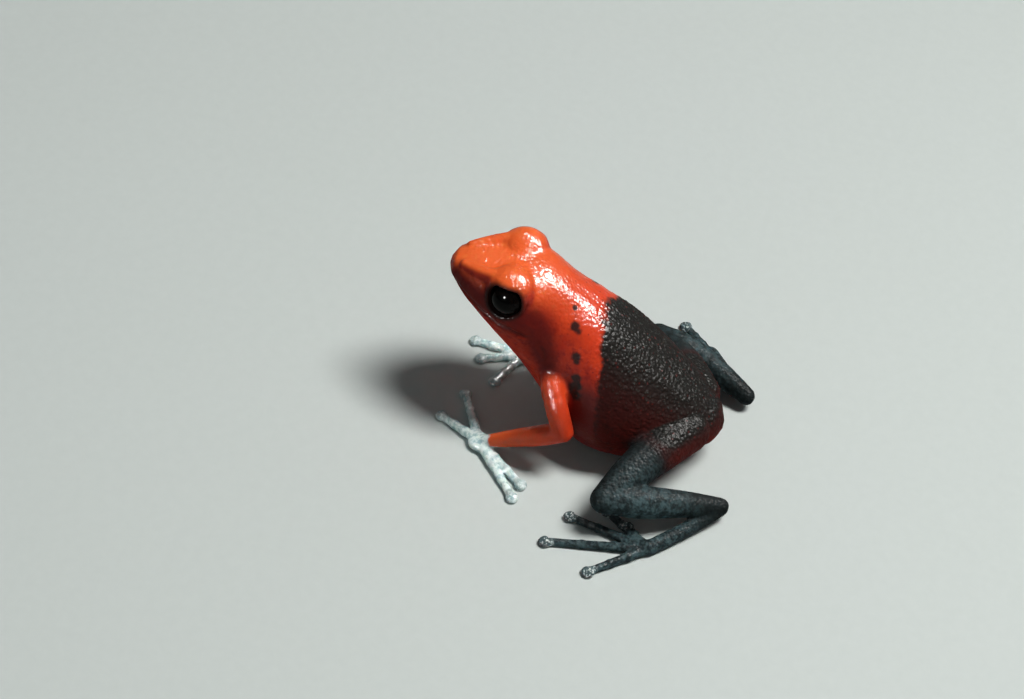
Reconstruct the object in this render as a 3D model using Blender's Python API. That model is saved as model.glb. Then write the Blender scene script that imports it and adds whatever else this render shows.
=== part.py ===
"""A strawberry poison dart frog, life size, sitting upright on its hands and feet, with no joints.

Lengths here are in millimetres and are turned into metres at the end. Places are (x, f, z): x to the frog's
left, f forward and z up from the floor.
"""

import math

import bmesh
import bpy
import numpy as np
from mathutils import Matrix, Vector

MM = 0.001
VOXEL = 0.12
JOINT_REPEATS = 30
NODE_GAP = 0.3

# Trunk from snout to vent: forward place, height of the side line, half width, height above and depth
# below the side line, and how square the section is above and below
TRUNK = (
    (8.22, 12.10, 0.30, 0.26, 0.26, 2.0, 2.0),
    (8.02, 12.08, 0.92, 0.56, 0.56, 2.2, 2.0),
    (7.50, 11.98, 1.55, 0.92, 0.94, 2.5, 2.0),
    (6.70, 11.74, 2.22, 1.36, 1.48, 2.7, 2.1),
    (5.60, 11.40, 2.88, 1.84, 2.10, 2.7, 2.1),
    (4.40, 10.98, 3.38, 2.42, 2.76, 2.6, 2.1),
    (3.20, 10.45, 3.60, 3.03, 3.55, 2.5, 2.1),
    (2.00, 9.45, 3.56, 3.97, 4.20, 2.3, 2.1),
    (0.80, 7.90, 3.52, 4.95, 4.40, 2.2, 2.1),
    (-0.40, 6.30, 3.72, 5.78, 4.45, 2.15, 2.1),
    (-1.80, 5.10, 4.30, 6.14, 4.45, 2.15, 2.3),
    (-3.20, 4.60, 4.65, 5.71, 4.10, 2.15, 2.4),
    (-4.60, 4.25, 4.60, 5.03, 3.78, 2.15, 2.4),
    (-6.00, 3.95, 4.25, 4.22, 3.45, 2.15, 2.4),
    (-7.40, 3.70, 3.75, 3.33, 3.10, 2.1, 2.3),
    (-8.80, 3.45, 3.05, 2.45, 2.50, 2.1, 2.1),
    (-10.00, 3.25, 2.15, 1.60, 1.65, 2.0, 2.0),
    (-10.90, 3.10, 1.15, 0.85, 0.85, 2.0, 2.0),
    (-11.20, 3.05, 0.30, 0.25, 0.25, 2.0, 2.0),
)

# Head: the point midway between the eyeballs and the pitch of the head, nose up
EYE_MID = Vector((0.0, 3.8, 12.29))
HEAD_PITCH = math.radians(5.7)
EYE_SIDE = 2.24
EYE_AXIS = Vector((0.93, 0.24, 0.26)).normalized()
EYE_RADIUS = 1.13
EYE_DEPTH = 0.98
EYE_FORWARD = 0.36
EYE_SIDES = 20
EYE_ROWS = 9
SOCKET_GAP = 0.25
BULGE_RADIUS = 1.72
BULGE_OFFSET = Vector((-0.34, 0.05, 0.05))
LID_RADIUS = 1.46
LID_THICK = 0.16
LID_FORWARD = 0.62
CANTHUS = ((0.95, 3.35, 0.10, 0.40), (1.45, 2.40, 0.42, 0.46), (1.85, 1.30, 0.78, 0.50))
NOSTRIL = Vector((1.16, 3.42, -0.12))
NOSTRIL_RADIUS = 0.17
NOSTRIL_DEPTH = 0.16
NOSTRIL_RIM = 0.05
EAR = Vector((3.15, -2.05, -0.55))
EAR_RADIUS = 0.50
EAR_DEPTH = 0.05
MOUTH = ((8.3, 11.82), (7.5, 11.68), (5.6, 11.22), (3.4, 10.62), (1.6, 10.02))
MOUTH_CORNER = 2.1
MOUTH_DEPTH = 0.13
MOUTH_WIDTH = 0.26
LIP_RISE = 0.04
LIP_HEIGHT = 0.34

# Limbs as (x, f, z, radius)
ARMS = {
    "left": (
        (2.70, 0.45, 7.20, 0.90),
        (3.90, 0.00, 6.65, 0.80),
        (4.80, -0.60, 5.75, 0.76),
        (5.15, -1.28, 4.15, 0.70),
    ),
    "right": (
        (-2.70, 0.45, 7.20, 0.90),
        (-3.95, -0.05, 6.60, 0.80),
        (-4.92, -0.72, 5.70, 0.76),
        (-5.28, -1.50, 4.05, 0.70),
    ),
}
FOREARMS = {
    "left": (
        (5.15, -1.28, 4.15, 0.70),
        (5.00, 0.15, 3.18, 0.70),
        (4.62, 1.85, 1.95, 0.60),
        (4.50, 3.40, 1.02, 0.46),
    ),
    "right": (
        (-5.28, -1.50, 4.05, 0.70),
        (-5.12, -0.25, 3.10, 0.70),
        (-4.75, 1.10, 1.95, 0.60),
        (-4.65, 2.40, 1.02, 0.46),
    ),
}
PALMS = {"left": (4.29, 4.27, 0.42), "right": (-4.50, 3.30, 0.42)}
FINGER_TIPS = {
    "left": ((0.20, 6.20), (2.65, 7.22), (8.28, 1.03), (7.00, 0.75)),
    "right": ((-1.60, 4.60), (-3.40, 6.00), (-4.95, 6.75), (-7.30, 4.50)),
}
THIGHS = {
    "left": (
        (1.90, -9.00, 3.60, 1.50),
        (4.20, -7.60, 3.60, 1.45),
        (6.40, -6.30, 3.40, 1.25),
        (8.95, -5.00, 2.95, 0.95),
    ),
    "right": (
        (-1.90, -9.10, 3.40, 1.45),
        (-4.00, -7.85, 3.25, 1.35),
        (-5.65, -6.75, 2.90, 1.15),
        (-7.35, -5.40, 2.40, 0.90),
    ),
}
SHINS = {
    "left": (
        (8.95, -5.00, 2.95, 0.92),
        (8.20, -7.00, 2.62, 1.08),
        (6.85, -9.80, 1.95, 0.90),
        (5.60, -12.30, 1.25, 0.60),
    ),
    "right": (
        (-7.35, -5.40, 2.40, 0.88),
        (-6.95, -7.30, 2.20, 1.02),
        (-6.00, -9.80, 1.75, 0.88),
        (-4.90, -12.20, 1.20, 0.60),
    ),
}
TARSI = {
    "left": ((5.60, -12.30, 1.10, 0.58), (7.60, -10.60, 0.70, 0.50), (9.95, -8.45, 0.52, 0.52)),
    "right": ((-4.90, -12.20, 1.05, 0.58), (-6.60, -10.80, 0.70, 0.50), (-8.80, -9.10, 0.52, 0.52)),
}
TOE_TIPS = {
    "left": ((8.35, -6.75), (7.45, -5.20), (8.68, -2.97), (11.28, -1.89), (12.90, -5.10)),
    "right": ((-7.30, -7.40), (-6.90, -5.80), (-8.00, -3.90), (-10.20, -2.80), (-11.10, -6.90)),
}
DIGIT_RADIUS = 0.29
DIGIT_HEIGHT = 0.27
DISC_RADIUS = 0.46
DISC_HEIGHT = 0.22

# Where the body is parted: the neck, and how far out along the upper arm and thigh
NECK_PLACE = Vector((0.0, 1.60, 9.60))
NECK_WAY = Vector((0.0, 0.93, 0.37))
NECK_REACH = 6.5
SHOULDER_OUT = {"left": 0.54, "right": 0.54}
SHOULDER_TURN = Vector((0.35, 0.0, 0.0))
HIP_OUT = {"left": 0.48, "right": 0.56}
HIP_TURN = Vector((0.30, -0.10, 0.0))
WRIST_OUT = 0.90

BOOLEAN_SOLVER = "EXACT"

# Material, colour and roughness of each kind of node
RED_SKIN = ("red_skin", (0.62, 0.10, 0.025), 0.35)
DARK_SKIN = ("dark_skin", (0.06, 0.035, 0.03), 0.40)
PALE_SKIN = ("pale_skin", (0.25, 0.38, 0.38), 0.40)
FINISHES = {
    "head": RED_SKIN,
    "torso": DARK_SKIN,
    "upper_arm": RED_SKIN,
    "forearm": RED_SKIN,
    "hand": PALE_SKIN,
    "thigh": DARK_SKIN,
    "shin": DARK_SKIN,
    "foot": PALE_SKIN,
    "eye": ("eye_black", (0.004, 0.004, 0.004), 0.08),
}

# Triangles left on each node
TRIANGLES = {
    "head": 4600,
    "torso": 1900,
    "upper_arm": 280,
    "forearm": 280,
    "hand": 1100,
    "thigh": 380,
    "shin": 340,
    "foot": 1400,
}


def sampled(rows, count):
    """A smooth curve through the rows, read at count places: each row is a point followed by its sizes."""
    rows = np.array(rows, float)
    steps = np.linalg.norm(np.diff(rows[:, :3], axis=0), axis=1)
    along = np.concatenate([[0.0], np.cumsum(steps)])
    slopes = np.gradient(rows, along, axis=0)
    places = np.linspace(0.0, along[-1], count)
    cell = np.clip(np.searchsorted(along, places, side="right") - 1, 0, len(rows) - 2)
    length = (along[cell + 1] - along[cell])[:, None]
    t = (places[:, None] - along[cell][:, None]) / length
    near = (1 + 2 * t) * (1 - t) ** 2
    far = t * t * (3 - 2 * t)
    bend = t * (1 - t) * length * ((1 - t) * slopes[cell] - t * slopes[cell + 1])
    return near * rows[cell] + far * rows[cell + 1] + bend


class Flesh:
    """Closed forms that overlap, gathered in one mesh before they are fused."""

    def __init__(self):
        self.points = []
        self.faces = []

    def rings(self, rings):
        """Joins rings of equal size into a closed form."""
        base = len(self.points)
        sides = len(rings[0])
        for ring in rings:
            self.points.extend(ring)
        for i in range(len(rings) - 1):
            for j in range(sides):
                a = base + i * sides + j
                b = base + i * sides + (j + 1) % sides
                self.faces.append((a, b, b + sides, a + sides))
        last = base + (len(rings) - 1) * sides
        self.faces.append(tuple(base + j for j in reversed(range(sides))))
        self.faces.append(tuple(last + j for j in range(sides)))

    def tube(self, rows, count=24, sides=20):
        """A limb of round section with round ends."""
        rows = sampled(rows, count)
        rings = []
        for row, way in zip(rows, np.gradient(rows[:, :3], axis=0)):
            way = Vector(way).normalized()
            side = way.orthogonal().normalized()
            rise = way.cross(side)
            centre = Vector(row[:3])
            radius = float(row[3])
            rings.append([centre + (side * math.cos(a) + rise * math.sin(a)) * radius for a in turns(sides)])
        self.rings(rings)
        self.ball(rows[0, :3], (rows[0, 3],) * 3)
        self.ball(rows[-1, :3], (rows[-1, 3],) * 3)

    def ball(self, centre, radii, sides=20, rows=12):
        """An ellipsoid."""
        rings = []
        for i in range(rows):
            polar = math.pi * (i + 0.5) / rows
            flat = math.sin(polar)
            ring = []
            for a in turns(sides):
                out = (flat * math.cos(a), flat * math.sin(a), -math.cos(polar))
                ring.append(Vector([c + r * o for c, r, o in zip(centre, radii, out)]))
            rings.append(ring)
        self.rings(rings)

    def hoop(self, centre, axis, radius, thick, sides=40):
        """A ring of round section about an axis, as overlapping balls."""
        side = axis.orthogonal().normalized()
        rise = axis.cross(side)
        for a in turns(sides):
            self.ball(centre + (side * math.cos(a) + rise * math.sin(a)) * radius, (thick,) * 3, 10, 6)


def turns(count):
    return [2 * math.pi * i / count for i in range(count)]


def mirrored(vector, sign):
    return Vector((sign * vector[0], vector[1], vector[2]))


def head_point(side, forward, up):
    """A place given in the head's own frame, from the point midway between the eyeballs."""
    c, s = math.cos(HEAD_PITCH), math.sin(HEAD_PITCH)
    return Vector((side, EYE_MID.y + forward * c - up * s, EYE_MID.z + forward * s + up * c))


def trunk_rings(sides=56, count=110):
    rows = np.array(TRUNK)
    rows = sampled(np.column_stack([np.zeros(len(rows)), rows]), count)
    rings = []
    for _, f, z, half, above, below, square_above, square_below in rows:
        ring = []
        for a in turns(sides):
            c, s = math.cos(a), math.sin(a)
            power = 2 / (square_above if s >= 0 else square_below)
            rise = (above if s >= 0 else below) * math.copysign(abs(s) ** power, s)
            ring.append(Vector((half * math.copysign(abs(c) ** power, c), f, z + rise)))
        rings.append(ring)
    return rings


def add_digit(flesh, root, tip, reach):
    """A finger or toe from the middle of the palm or foot to the disc at its tip, low on the floor."""
    root = Vector(root)
    tip = Vector((tip[0], tip[1], DIGIT_HEIGHT))
    start = root.lerp(Vector((tip.x, tip.y, root.z)), reach)
    middle = start.lerp(tip, 0.5)
    middle.z = DIGIT_HEIGHT + 0.06
    flesh.tube(
        (
            (*start, DIGIT_RADIUS + 0.06),
            (*middle, DIGIT_RADIUS),
            (*start.lerp(tip, 0.85).xy, DIGIT_HEIGHT, DIGIT_RADIUS - 0.02),
            (*tip, DIGIT_RADIUS - 0.02),
        ),
        16,
        12,
    )
    flesh.ball((tip.x, tip.y, DISC_HEIGHT), (DISC_RADIUS, DISC_RADIUS, DISC_HEIGHT + 0.02), 16, 8)


def build_flesh():
    flesh = Flesh()
    flesh.rings(trunk_rings())
    for side, sign in (("left", 1), ("right", -1)):
        axis = mirrored(EYE_AXIS, sign)
        flesh.ball(eye_centre(sign) + mirrored(BULGE_OFFSET, sign), (BULGE_RADIUS,) * 3)
        flesh.hoop(eye_centre(sign) + axis * LID_FORWARD, axis, LID_RADIUS, LID_THICK)
        flesh.tube([(*head_point(sign * x, f, z), r) for x, f, z, r in CANTHUS], 12)
        for limb in (ARMS, FOREARMS, THIGHS, SHINS, TARSI):
            flesh.tube(limb[side])
        palm = PALMS[side]
        flesh.tube(((*FOREARMS[side][-1][:3], 0.44), (*palm, 0.48)), 8)
        flesh.ball(palm, (0.85, 0.80, 0.44))
        for tip in FINGER_TIPS[side]:
            add_digit(flesh, palm, tip, 0.12)
        for tip in TOE_TIPS[side]:
            add_digit(flesh, (*TARSI[side][-1][:2], 0.42), tip, 0.06)
    return flesh


def eye_centre(sign):
    return head_point(sign * EYE_SIDE, 0.0, 0.0)


def to_world(points):
    """From (x, f, z) to the world, where the frog faces -Y."""
    points = np.array(points, float)
    points[:, 1] *= -1
    return points


def object_of(name, points, faces):
    mesh = bpy.data.meshes.new(name)
    mesh.from_pydata([tuple(p) for p in points], [], faces)
    mesh.update()
    obj = bpy.data.objects.new(name, mesh)
    bpy.context.scene.collection.objects.link(obj)
    return obj


def apply_modifiers(obj):
    graph = bpy.context.evaluated_depsgraph_get()
    mesh = bpy.data.meshes.new_from_object(obj.evaluated_get(graph))
    obj.modifiers.clear()
    old = obj.data
    obj.data = mesh
    bpy.data.meshes.remove(old)


def fused(flesh, voxel):
    """One closed surface round all the forms."""
    obj = object_of("flesh", to_world(flesh.points), flesh.faces)
    orient(obj)
    remesh = obj.modifiers.new("Fuse", "REMESH")
    remesh.mode = "VOXEL"
    remesh.voxel_size = voxel
    apply_modifiers(obj)
    return obj


def read_points(obj):
    """The vertices as (x, f, z)."""
    points = np.empty(len(obj.data.vertices) * 3, np.float32)
    obj.data.vertices.foreach_get("co", points)
    return to_world(points.reshape(-1, 3))


def write_points(obj, points):
    obj.data.vertices.foreach_set("co", to_world(points).astype(np.float32).ravel())
    obj.data.update()


def soften(obj, places, repeats):
    """Smooths the whole surface a little and the given (place, radius) more, so that forms run together."""
    points = read_points(obj)
    weights = np.zeros(len(points))
    for place, radius in places:
        distance = np.linalg.norm(points - np.array(place), axis=1) / radius
        weights = np.maximum(weights, np.clip(1.6 * (1 - distance), 0, 1))
    group = obj.vertex_groups.new(name="joints")
    for level in range(1, 11):
        chosen = np.flatnonzero(np.round(weights * 10) == level)
        if len(chosen):
            group.add(chosen.tolist(), level / 10, "REPLACE")
    joints = obj.modifiers.new("Joints", "SMOOTH")
    joints.factor = 0.5
    joints.iterations = repeats
    joints.vertex_group = "joints"
    overall = obj.modifiers.new("Overall", "SMOOTH")
    overall.factor = 0.5
    overall.iterations = max(2, repeats // 10)
    apply_modifiers(obj)
    obj.vertex_groups.clear()


def joint_places():
    places = []
    for side, sign in (("left", 1), ("right", -1)):
        places.append((ARMS[side][1][:3], 2.0))
        places.append((FOREARMS[side][0][:3], 1.0))
        places.append((THIGHS[side][1][:3], 3.2))
        places.append((SHINS[side][0][:3], 1.3))
        places.append((TARSI[side][0][:3], 1.0))
        places.append((PALMS[side], 1.4))
        places.append(((*TARSI[side][-1][:2], 0.5), 1.4))
        places.append((head_point(sign * 1.5, -1.9, 0.9), 1.6))
        places.append((head_point(sign * 1.2, 2.0, 0.6), 1.6))
        places.append((head_point(sign * 0.5, 0.0, 1.3), 1.5))
    return places


def bump(distance, radius):
    """1 at no distance, falling smoothly to 0 at the radius."""
    t = np.clip(1 - (distance / radius) ** 2, 0, 1)
    return t * t


def carve_head(obj):
    """The line of the mouth with its lips, the nostrils and the ears."""
    points = read_points(obj)
    normals = np.empty(len(points) * 3, np.float32)
    obj.data.vertices.foreach_get("normal", normals)
    normals = to_world(normals.reshape(-1, 3))
    rows = np.array(TRUNK)[::-1]
    mouth = np.array(MOUTH)[::-1]
    above = points[:, 2] - np.interp(points[:, 1], mouth[:, 0], mouth[:, 1])
    along = np.clip((points[:, 1] - MOUTH_CORNER) / 0.5, 0, 1)
    half = np.interp(points[:, 1], rows[:, 0], rows[:, 2])
    side = np.clip((np.abs(points[:, 0]) / half - 0.55) / 0.3, 0, 1)
    front = np.clip((points[:, 1] - 7.6) / 0.3, 0, 1)
    reach = along * np.maximum(side, front)
    groove = -MOUTH_DEPTH * bump(above, MOUTH_WIDTH)
    lips = LIP_RISE * (bump(above - LIP_HEIGHT, LIP_HEIGHT) + bump(above + LIP_HEIGHT, LIP_HEIGHT))
    shift = reach * (groove + lips)
    for sign in (1, -1):
        nostril = np.array(head_point(sign * NOSTRIL.x, NOSTRIL.y, NOSTRIL.z))
        far = np.linalg.norm(points - nostril, axis=1)
        shift += NOSTRIL_RIM * bump(far - NOSTRIL_RADIUS * 1.7, NOSTRIL_RADIUS)
        shift -= NOSTRIL_DEPTH * bump(far, NOSTRIL_RADIUS * 1.6)
        ear = np.array(head_point(sign * EAR.x, EAR.y, EAR.z))
        far = np.linalg.norm(points - ear, axis=1)
        shift += 0.4 * EAR_DEPTH * bump(far - EAR_RADIUS * 1.25, EAR_RADIUS * 0.4)
        shift -= EAR_DEPTH * np.clip((EAR_RADIUS * 1.1 - far) / (0.25 * EAR_RADIUS), 0, 1)
    write_points(obj, points + normals * shift[:, None])


def rest_on_floor(obj):
    points = read_points(obj)
    points[:, 2] = np.maximum(points[:, 2], 0.0)
    write_points(obj, points)


def cutter_box(name, place, way, long_way, long_reach, cross_reach, thick=NODE_GAP):
    """A thin plate across the way, longest along long_way."""
    way = way.normalized()
    along = (long_way - way * long_way.dot(way)).normalized()
    across = way.cross(along)
    corners = []
    for k in (-0.5, 0.5):
        for i, j in ((-1, -1), (1, -1), (1, 1), (-1, 1)):
            corners.append(place + way * (k * thick) + along * (i * long_reach) + across * (j * cross_reach))
    faces = ((3, 2, 1, 0), (4, 5, 6, 7), (0, 1, 5, 4), (1, 2, 6, 5), (2, 3, 7, 6), (3, 0, 4, 7))
    return object_of(name, to_world([tuple(c) for c in corners]), faces)


def across_limb(name, rows, share, turn, reach):
    """A plate across a limb, some share of the way along it, with its way turned a little."""
    curve = sampled(rows, 101)
    i = int(share * 100)
    place = Vector(curve[i, :3])
    way = Vector(curve[min(i + 1, 100), :3] - curve[i - 1, :3]).normalized() + turn
    return cutter_box(name, place, way, Vector((0, 0, 1)), reach, reach)


def along_fold(name, upper, lower, back, ahead, across):
    """A plate between two limb pieces folded at the joint where the first ends and the second starts."""
    joint = (Vector(upper[-1][:3]) + Vector(lower[0][:3])) / 2
    first = (Vector(upper[-2][:3]) - joint).normalized()
    second = (Vector(lower[1][:3]) - joint).normalized()
    middle = (first + second).normalized()
    place = joint + middle * (ahead - back) / 2
    return cutter_box(name, place, first - second, middle, (ahead + back) / 2, across)


def ellipsoid(name, centre, axis, across, along, sides=32, rows=16):
    flesh = Flesh()
    flesh.ball((0, 0, 0), (across, across, along), sides, rows)
    turn = Vector((0, 0, 1)).rotation_difference(axis)
    obj = object_of(name, to_world([centre + turn @ Vector(p) for p in flesh.points]), flesh.faces)
    orient(obj)
    return obj


def orient(obj):
    bm = bmesh.new()
    bm.from_mesh(obj.data)
    bmesh.ops.recalc_face_normals(bm, faces=bm.faces)
    bm.to_mesh(obj.data)
    bm.free()


def cutters():
    plates = [cutter_box("cut_neck", NECK_PLACE, NECK_WAY, Vector((0, 0, 1)), NECK_REACH, NECK_REACH)]
    for side, sign in (("left", 1), ("right", -1)):
        axis = mirrored(EYE_AXIS, sign)
        place = eye_centre(sign) + axis * EYE_FORWARD
        plates.append(ellipsoid("cut_eye", place, axis, EYE_RADIUS + SOCKET_GAP, EYE_DEPTH + SOCKET_GAP))
        turn = mirrored(SHOULDER_TURN, sign)
        plates.append(across_limb("cut_arm", ARMS[side], SHOULDER_OUT[side], turn, 1.10))
        plates.append(along_fold("cut_elbow", ARMS[side], FOREARMS[side], 1.3, 1.7, 0.95))
        plates.append(across_limb("cut_wrist", FOREARMS[side], WRIST_OUT, Vector((0, 0, 0)), 0.85))
        plates.append(across_limb("cut_hip", THIGHS[side], HIP_OUT[side], mirrored(HIP_TURN, sign), 1.75))
        plates.append(along_fold("cut_knee", THIGHS[side], SHINS[side], 1.4, 4.8, 1.7))
        plates.append(along_fold("cut_ankle", SHINS[side], TARSI[side], 1.1, 3.2, 1.1))
    for plate in plates:
        orient(plate)
    return plates


def node_places():
    """A point in the middle of each node."""
    places = {"head": Vector((0, 5.0, 11.2)), "torso": Vector((0, -4.0, 5.0))}
    for side in ("left", "right"):
        places["upper_arm_" + side] = Vector(sampled(ARMS[side], 5)[3, :3])
        places["forearm_" + side] = Vector(sampled(FOREARMS[side], 5)[2, :3])
        places["thigh_" + side] = Vector(sampled(THIGHS[side], 5)[3, :3])
        places["shin_" + side] = Vector(sampled(SHINS[side], 5)[2, :3])
        places["hand_" + side] = Vector(PALMS[side])
        places["foot_" + side] = Vector(TARSI[side][-1][:3])
    return places


def parted(body):
    """Cuts the body into nodes and keeps the largest closed surface of each."""
    plates = cutters()
    group = bpy.data.collections.new("cutters")
    bpy.context.scene.collection.children.link(group)
    for plate in plates:
        bpy.context.scene.collection.objects.unlink(plate)
        group.objects.link(plate)
    cut = body.modifiers.new("Part", "BOOLEAN")
    cut.operation = "DIFFERENCE"
    cut.operand_type = "COLLECTION"
    cut.collection = group
    cut.solver = BOOLEAN_SOLVER
    apply_modifiers(body)
    for plate in plates:
        bpy.data.objects.remove(plate)
    bpy.data.collections.remove(group)

    bm = bmesh.new()
    bm.from_mesh(body.data)
    bm.verts.ensure_lookup_table()
    seen = set()
    islands = []
    for start in bm.verts:
        if start.index in seen:
            continue
        seen.add(start.index)
        island = [start]
        for vert in island:
            for edge in vert.link_edges:
                other = edge.other_vert(vert)
                if other.index not in seen:
                    seen.add(other.index)
                    island.append(other)
        islands.append(island)
    places = node_places()
    best = {}
    for island in islands:
        middle = sum((v.co for v in island), Vector()) / len(island)
        middle.y *= -1
        name = min(places, key=lambda n: (places[n] - middle).length)
        if len(island) > len(best.get(name, ())):
            best[name] = island
    nodes = {}
    for name, island in best.items():
        index = {v.index: i for i, v in enumerate(island)}
        faces = {f for v in island for f in v.link_faces}
        faces = sorted(faces, key=lambda f: f.index)
        points = [tuple(v.co) for v in island]
        nodes[name] = (points, [[index[v.index] for v in f.verts] for f in faces])
    bm.free()
    bpy.data.objects.remove(body)
    return nodes


def lightened(obj, triangles):
    """Fewer triangles, kept where the surface bends."""
    bm = bmesh.new()
    bm.from_mesh(obj.data)
    bmesh.ops.triangulate(bm, faces=bm.faces)
    count = len(bm.faces)
    bm.to_mesh(obj.data)
    bm.free()
    if count > triangles:
        decimate = obj.modifiers.new("Lighten", "DECIMATE")
        decimate.ratio = triangles / count
        apply_modifiers(obj)


def kind_of(name):
    return name.removesuffix("_left").removesuffix("_right")


def centred(objects):
    """Puts the middle of the base of the whole frog's bounding box at the origin."""
    points = np.concatenate([read_points(obj) for obj in objects])
    low = points.min(axis=0)
    middle = (low + points.max(axis=0)) / 2
    for obj in objects:
        write_points(obj, read_points(obj) - np.array((middle[0], middle[1], low[2])))


def main():
    for obj in list(bpy.data.objects):
        bpy.data.objects.remove(obj)
    body = fused(build_flesh(), VOXEL)
    soften(body, joint_places(), JOINT_REPEATS)
    carve_head(body)
    rest_on_floor(body)
    nodes = parted(body)
    objects = []
    for name in sorted(nodes):
        obj = object_of(name, *nodes[name])
        lightened(obj, TRIANGLES[kind_of(name)])
        objects.append(obj)
    for side, sign in (("left", 1), ("right", -1)):
        axis = mirrored(EYE_AXIS, sign)
        place = eye_centre(sign) + axis * EYE_FORWARD
        objects.append(ellipsoid("eye_" + side, place, axis, EYE_RADIUS, EYE_DEPTH, EYE_SIDES, EYE_ROWS))
    centred(objects)
    for obj in objects:
        finish_node(obj)


def finish_node(obj):
    obj.data.transform(Matrix.Scale(MM, 4))
    obj.data.shade_smooth()
    slot, colour, roughness = FINISHES[kind_of(obj.name)]
    material = bpy.data.materials.get(slot) or bpy.data.materials.new(slot)
    material.use_nodes = True
    shader = material.node_tree.nodes["Principled BSDF"]
    shader.inputs["Base Color"].default_value = (*colour, 1.0)
    shader.inputs["Roughness"].default_value = roughness
    shader.inputs["Metallic"].default_value = 0.0
    obj.data.materials.append(material)


main()
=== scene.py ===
"""The looks of the strawberry poison dart frog.

One skin covers all its flesh, and the two eyeballs are pieces of their own. A floor, lamps and the camera
stand round them. Lengths are in millimetres until a piece is finished. Places are (x, f, z): x to the
frog's left, f forward and z up from the floor, as the solids were laid out before they were centred on
the origin.
"""

import math

import bmesh
import bpy
import numpy as np
from mathutils import Matrix, Vector


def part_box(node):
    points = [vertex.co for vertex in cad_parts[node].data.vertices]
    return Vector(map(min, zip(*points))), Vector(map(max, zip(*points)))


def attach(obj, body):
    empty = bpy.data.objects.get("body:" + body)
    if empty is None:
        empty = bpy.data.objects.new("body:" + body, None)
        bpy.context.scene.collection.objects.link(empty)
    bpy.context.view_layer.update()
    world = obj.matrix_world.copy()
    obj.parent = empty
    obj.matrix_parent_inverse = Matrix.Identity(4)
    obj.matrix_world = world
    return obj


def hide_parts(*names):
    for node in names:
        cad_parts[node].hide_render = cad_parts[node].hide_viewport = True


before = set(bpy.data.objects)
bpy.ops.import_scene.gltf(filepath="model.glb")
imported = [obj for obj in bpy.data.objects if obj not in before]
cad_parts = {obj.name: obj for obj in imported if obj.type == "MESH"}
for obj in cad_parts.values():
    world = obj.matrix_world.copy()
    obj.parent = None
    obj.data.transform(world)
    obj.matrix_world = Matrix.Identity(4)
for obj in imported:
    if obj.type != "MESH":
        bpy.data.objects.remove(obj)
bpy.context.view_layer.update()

# Metres in a millimetre, the voxels that fuse the forms, and how the fused skin is smoothed
MM = 0.001
VOXEL = 0.085
SMOOTH_FACTOR = 0.5
JOINT_REPEATS = 55
OVERALL_REPEATS = 3
WEIGHT_LEVELS = 10

SIDES = (("left", 1), ("right", -1))

# Trunk from snout to vent: forward place, height of the side line, half width, height above and depth
# below the side line, and how square the section is above and below
TRUNK = (
    (8.22, 12.10, 0.30, 0.26, 0.26, 2.0, 2.0),
    (8.02, 12.08, 0.92, 0.56, 0.56, 2.2, 2.0),
    (7.50, 11.98, 1.55, 0.92, 0.94, 2.5, 2.0),
    (6.70, 11.74, 2.22, 1.36, 1.48, 2.7, 2.1),
    (5.60, 11.40, 2.88, 1.84, 2.10, 2.7, 2.1),
    (4.40, 10.98, 3.38, 2.42, 2.76, 2.6, 2.1),
    (3.20, 10.45, 3.60, 3.03, 3.55, 2.5, 2.1),
    (2.00, 9.45, 3.56, 3.97, 4.20, 2.3, 2.1),
    (0.80, 7.90, 3.52, 4.95, 4.40, 2.2, 2.1),
    (-0.40, 6.30, 3.72, 5.78, 4.45, 2.15, 2.1),
    (-1.80, 5.10, 4.30, 6.14, 4.45, 2.15, 2.3),
    (-3.20, 4.60, 4.65, 5.71, 4.10, 2.15, 2.4),
    (-4.60, 4.25, 4.60, 5.03, 3.78, 2.15, 2.4),
    (-6.00, 3.95, 4.25, 4.22, 3.45, 2.15, 2.4),
    (-7.40, 3.70, 3.75, 3.33, 3.10, 2.1, 2.3),
    (-8.80, 3.45, 3.05, 2.45, 2.50, 2.1, 2.1),
    (-10.00, 3.25, 2.15, 1.60, 1.65, 2.0, 2.0),
    (-10.90, 3.10, 1.15, 0.85, 0.85, 2.0, 2.0),
    (-11.20, 3.05, 0.30, 0.25, 0.25, 2.0, 2.0),
)

# Head: the point midway between the eyeballs and the pitch of the head, nose up
EYE_MID = Vector((0.0, 3.8, 12.29))
HEAD_PITCH = math.radians(5.7)

# Eyes: their place, the way they look, the ball with its cornea, how far it stands out, the lids' opening
EYE_SIDE = 2.24
EYE_AXIS = Vector((0.93, 0.24, 0.26)).normalized()
EYE_RADIUS = 1.16
EYE_DEPTH = 0.98
EYE_FORWARD = 0.36
CORNEA_RISE = 0.05
CORNEA_SHARE = 0.75
IRIS_WIDE = 1.12
APERTURE = 1.06

# The bulges that carry the eyes, and the low fills (x, f, z, radius) that run them into the crown
BULGE_RADIUS = 1.72
BULGE_OFFSET = Vector((-0.34, 0.05, 0.05))
BULGE_FILLS = ((1.15, -0.05, -0.12, 1.55), (1.30, -1.10, -0.42, 1.45))

# Lids: a ring round each eye, and how the upper one differs from the lower one
LID_RADIUS = 1.24
LID_THICK = 0.17
LID_FORWARD = 0.66
LID_DROP = 0.22
LID_BLEND = 0.06
LID_SLOPE = 0.14
UPPER_LID_IN = 0.05
UPPER_LID_THICKER = 0.09
UPPER_LID_BACK = 0.02

# Sockets: the skin that is sunk behind an eyeball, and the dark rim round it beyond the opening, a lid
# margin widened with painted shade
SOCKET_BACK = -0.4
SOCKET_FRONT = 2.0
SOCKET_ACROSS = 2.2
SOCKET_GAP = 0.22
RIM_START = 0.16
RIM_END = 0.50

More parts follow.
